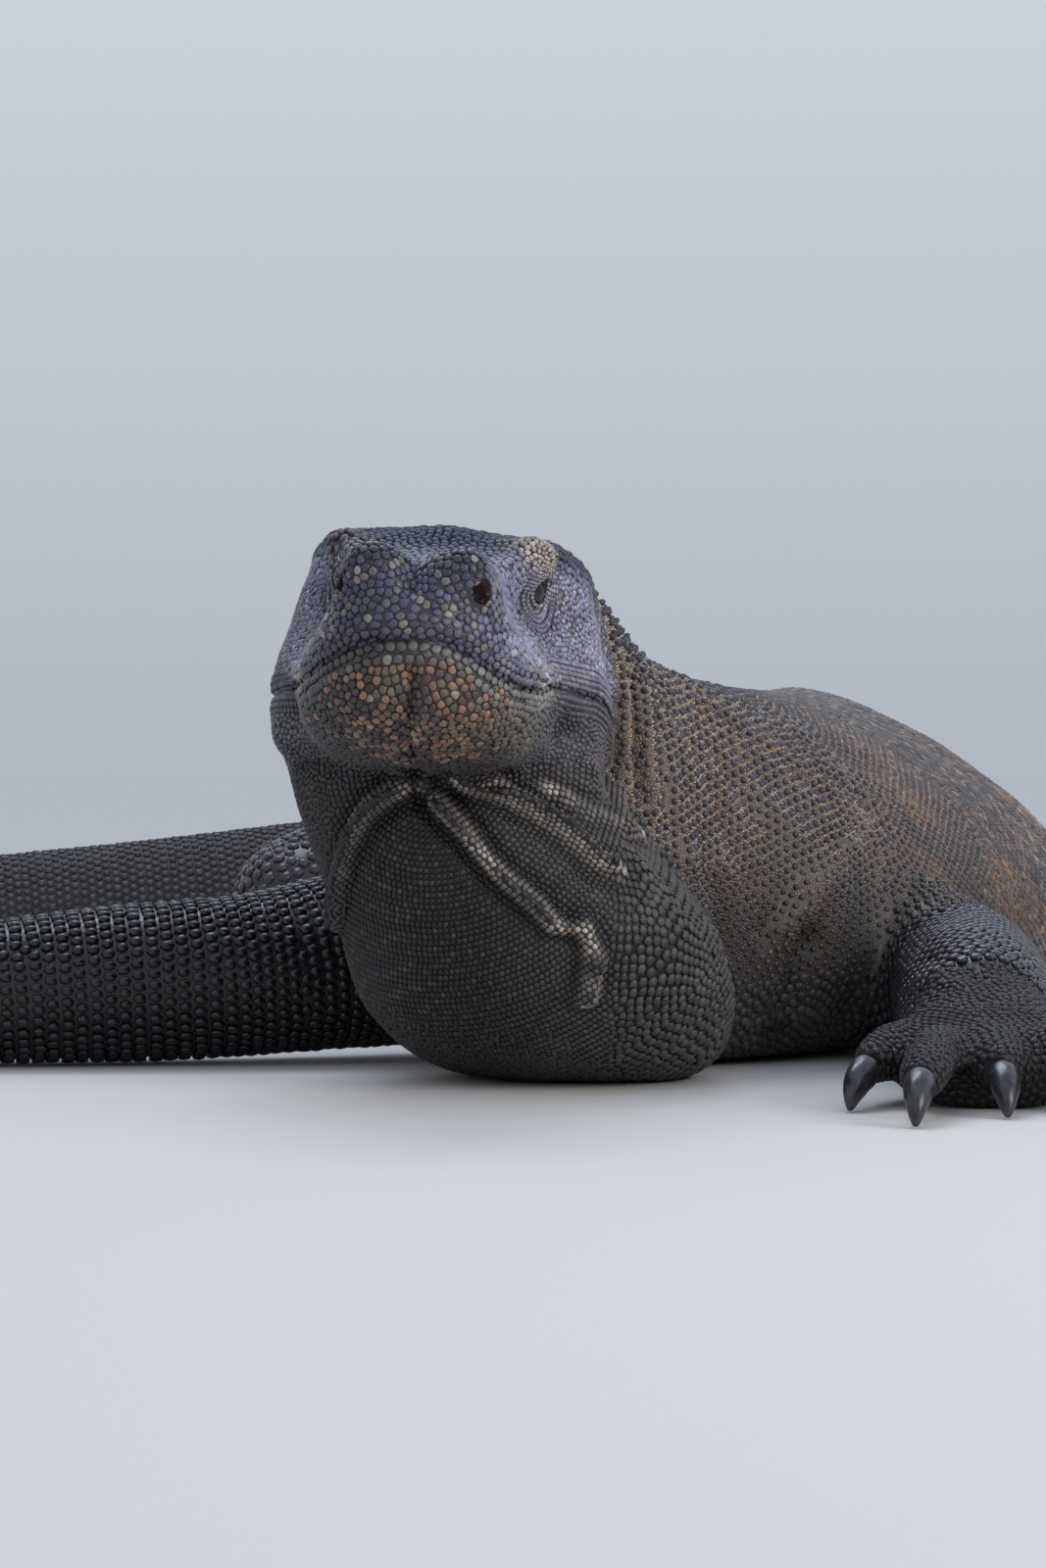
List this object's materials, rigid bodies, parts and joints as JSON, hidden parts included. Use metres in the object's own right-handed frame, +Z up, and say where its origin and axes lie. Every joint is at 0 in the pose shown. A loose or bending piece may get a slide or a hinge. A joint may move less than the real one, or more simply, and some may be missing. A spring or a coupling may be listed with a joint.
{
  "type": "komodo dragon",
  "caption": "Large monitor lizard lying on its belly with its head raised, as a still life-size model.",
  "frame": {"origin": "middle of the floor area under the animal, at floor level", "axes": "+Z up, the head towards -Y, the animal's left side towards +X"},
  "size_m": [1.0712, 1.4506, 0.2463],
  "materials": {
    "head_skin": "knobbly plate scales, slate brown with a violet sheen",
    "jaw_skin": "pebble scales, orange brown and yellow green on dark brown",
    "throat_skin": "fine bead scales in rows on loose folded skin, dark olive brown",
    "neck_skin": "bead scales with dark centres and tan to orange rims",
    "trunk_skin": "bead scales, grey brown with rust patches",
    "tail_skin": "oblong keeled scales in rings, dark brown",
    "leg_skin": "smooth glossy oval scales in rings, blue black",
    "foot_skin": "small scales with broad plates along the toes, blue black",
    "claw_horn": "smooth dark horn",
    "eye": "wet dark brown eye"
  },
  "bodies": {
    "root": {"chest": "trunk_skin", "eye_left": "eye", "eye_right": "eye", "foreleg_left_claw_1": "claw_horn", "foreleg_left_claw_2": "claw_horn", "foreleg_left_claw_3": "claw_horn", "foreleg_left_claw_4": "claw_horn", "foreleg_left_claw_5": "claw_horn", "foreleg_left_foot": "foot_skin", "foreleg_left_lower": "leg_skin", "foreleg_left_upper": "leg_skin", "foreleg_right_claw_1": "claw_horn", "foreleg_right_claw_2": "claw_horn", "foreleg_right_claw_3": "claw_horn", "foreleg_right_claw_4": "claw_horn", "foreleg_right_claw_5": "claw_horn", "foreleg_right_foot": "foot_skin", "foreleg_right_lower": "leg_skin", "foreleg_right_upper": "leg_skin", "head": "head_skin", "hindleg_left_claw_1": "claw_horn", "hindleg_left_claw_2": "claw_horn", "hindleg_left_claw_3": "claw_horn", "hindleg_left_claw_4": "claw_horn", "hindleg_left_claw_5": "claw_horn", "hindleg_left_foot": "foot_skin", "hindleg_left_lower": "leg_skin", "hindleg_left_upper": "leg_skin", "hindleg_right_claw_1": "claw_horn", "hindleg_right_claw_2": "claw_horn", "hindleg_right_claw_3": "claw_horn", "hindleg_right_claw_4": "claw_horn", "hindleg_right_claw_5": "claw_horn", "hindleg_right_foot": "foot_skin", "hindleg_right_lower": "leg_skin", "hindleg_right_upper": "leg_skin", "lower_jaw": "jaw_skin", "neck_front": "neck_skin", "neck_rear": "neck_skin", "pelvis": "trunk_skin", "tail_1": "tail_skin", "tail_2": "tail_skin", "tail_3": "tail_skin", "tail_4": "tail_skin", "tail_5": "tail_skin", "tail_6": "tail_skin", "throat": "throat_skin", "trunk": "trunk_skin"}
  },
  "joints": []
}
